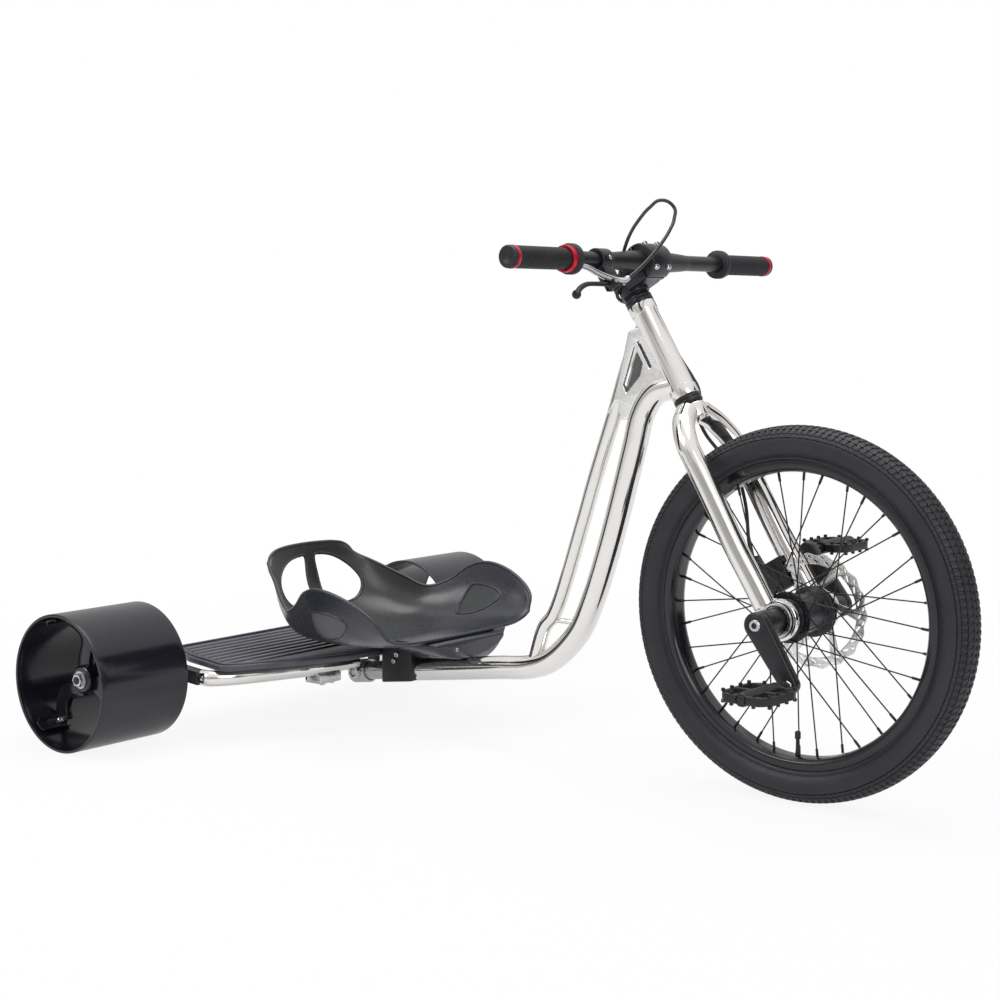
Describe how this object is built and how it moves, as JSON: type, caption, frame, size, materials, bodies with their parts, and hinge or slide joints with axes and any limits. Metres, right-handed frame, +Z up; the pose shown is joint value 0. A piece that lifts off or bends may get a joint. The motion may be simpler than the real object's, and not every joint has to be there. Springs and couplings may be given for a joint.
{
  "type": "drift trike",
  "caption": "Low pedal drift trike: raked fork with pedalled disc-braked front wheel, bucket seat, sliding rear frame with footboard and wide sleeve wheels.",
  "frame": {"origin": "on the ground, under the middle of the whole trike's bounding box", "axes": "+X forward to the front wheel, +Y to the rider's left, +Z up"},
  "size_m": [1.363, 0.9446, 0.8249],
  "materials": {
    "chrome_tube": "mirror chrome plating",
    "seat_plastic": "satin moulded plastic",
    "black_steel": "black powder coat",
    "bare_steel": "zinc plated",
    "black_alloy": "black anodised",
    "red_alloy": "red anodised",
    "grip_rubber": "ribbed matte rubber",
    "cable_sheath": "smooth sheath",
    "tyre_rubber": "fine ribbed tread",
    "pedal_plastic": "moulded",
    "board_plastic": "ridged satin plastic",
    "sleeve_plastic": "polished hard plastic"
  },
  "bodies": {
    "frame": {"main_tube": "chrome_tube", "top_tube": "chrome_tube", "frame_gusset": "chrome_tube", "head_tube": "chrome_tube", "seat_shell": "seat_plastic", "seat_pedestal": "seat_plastic", "saddle_bracket": "black_steel", "saddle_bolt_upper": "bare_steel", "saddle_bolt_lower": "bare_steel", "headset_upper_cup": "black_alloy", "headset_lower_cup": "black_alloy"},
    "steering": {"fork_steerer": "chrome_tube", "fork_leg_right": "chrome_tube", "fork_leg_left": "chrome_tube", "dropout_cap_right": "bare_steel", "dropout_cap_left": "bare_steel", "headset_spacer": "black_alloy", "top_cap": "black_alloy", "stem": "black_alloy", "stem_faceplate": "black_alloy", "handlebar": "black_steel", "grip_right": "grip_rubber", "grip_left": "grip_rubber", "lock_ring_right": "red_alloy", "lock_ring_left": "red_alloy", "lever_perch": "black_alloy", "barrel_adjuster": "bare_steel", "brake_cable": "cable_sheath", "brake_caliper": "black_alloy"},
    "lever": {"brake_lever": "black_alloy"},
    "brake_arm": {"caliper_arm": "bare_steel"},
    "front_wheel": {"front_tyre": "tyre_rubber", "front_rim": "black_alloy", "spokes_right": "black_steel", "spokes_left": "black_steel", "valve_stem": "tyre_rubber", "hub_shell": "black_alloy", "brake_rotor": "bare_steel"},
    "cranks": {"crank_spindle": "bare_steel", "crank_right": "black_steel", "crank_left": "black_steel"},
    "right_pedal": {"pedal_right": "pedal_plastic"},
    "left_pedal": {"pedal_left": "pedal_plastic"},
    "rear_frame": {"slide_tube": "bare_steel", "clamp_collar": "bare_steel", "collar_bolt": "bare_steel", "rail_right": "chrome_tube", "rail_left": "chrome_tube", "deck_clamp_right": "bare_steel", "deck_clamp_left": "bare_steel", "axle_arm_right": "black_steel", "axle_arm_left": "black_steel", "axle_nut_right": "bare_steel", "axle_nut_left": "bare_steel", "footboard": "board_plastic"},
    "right_wheel": {"sleeve_right": "sleeve_plastic", "rear_hub_right": "sleeve_plastic"},
    "left_wheel": {"sleeve_left": "sleeve_plastic", "rear_hub_left": "sleeve_plastic"}
  },
  "joints": [
    {"name": "steering_turn", "type": "hinge", "parent": "frame", "child": "steering", "pos_m": [0.15939, 0, 0.67392], "axis": [-0.5225, 0, 0.8526], "range_deg": [-45, 45]},
    {"name": "lever_squeeze", "type": "hinge", "parent": "steering", "child": "lever", "pos_m": [0.19121, -0.1155, 0.70162], "axis": [-0.8526, 0, -0.5225], "range_deg": [0, 14], "stiffness_Nm_per_rad": 0.6, "springref_deg": -11.46},
    {"name": "caliper_pull", "type": "hinge", "parent": "steering", "child": "brake_arm", "pos_m": [0.35403, 0.0636, 0.29123], "axis": [0, 1, 0], "range_deg": [0, 18.67]},
    {"name": "front_wheel_spin", "type": "hinge", "parent": "steering", "child": "front_wheel", "pos_m": [0.4245, 0, 0.257], "axis": [0, 1, 0], "continuous": true},
    {"name": "crank_turn", "type": "hinge", "parent": "steering", "child": "cranks", "pos_m": [0.4245, 0, 0.257], "axis": [0, 1, 0], "continuous": true},
    {"name": "right_pedal_spin", "type": "hinge", "parent": "cranks", "child": "right_pedal", "pos_m": [0.4745, 0, 0.18398], "axis": [0, 1, 0], "continuous": true},
    {"name": "left_pedal_spin", "type": "hinge", "parent": "cranks", "child": "left_pedal", "pos_m": [0.3745, 0, 0.33002], "axis": [0, 1, 0], "continuous": true},
    {"name": "rear_frame_slide", "type": "slide", "parent": "frame", "child": "rear_frame", "axis": [0.9903, 0, 0.1392], "range_m": [-0.08, 0]},
    {"name": "right_wheel_spin", "type": "hinge", "parent": "rear_frame", "child": "right_wheel", "pos_m": [-0.5755, 0, 0.106], "axis": [0, 1, 0], "continuous": true},
    {"name": "left_wheel_spin", "type": "hinge", "parent": "rear_frame", "child": "left_wheel", "pos_m": [-0.5755, 0, 0.106], "axis": [0, 1, 0], "continuous": true}
  ],
  "couplings": [
    {"joint": "caliper_pull", "follows": "lever_squeeze", "ratio": 1.3333}
  ]
}
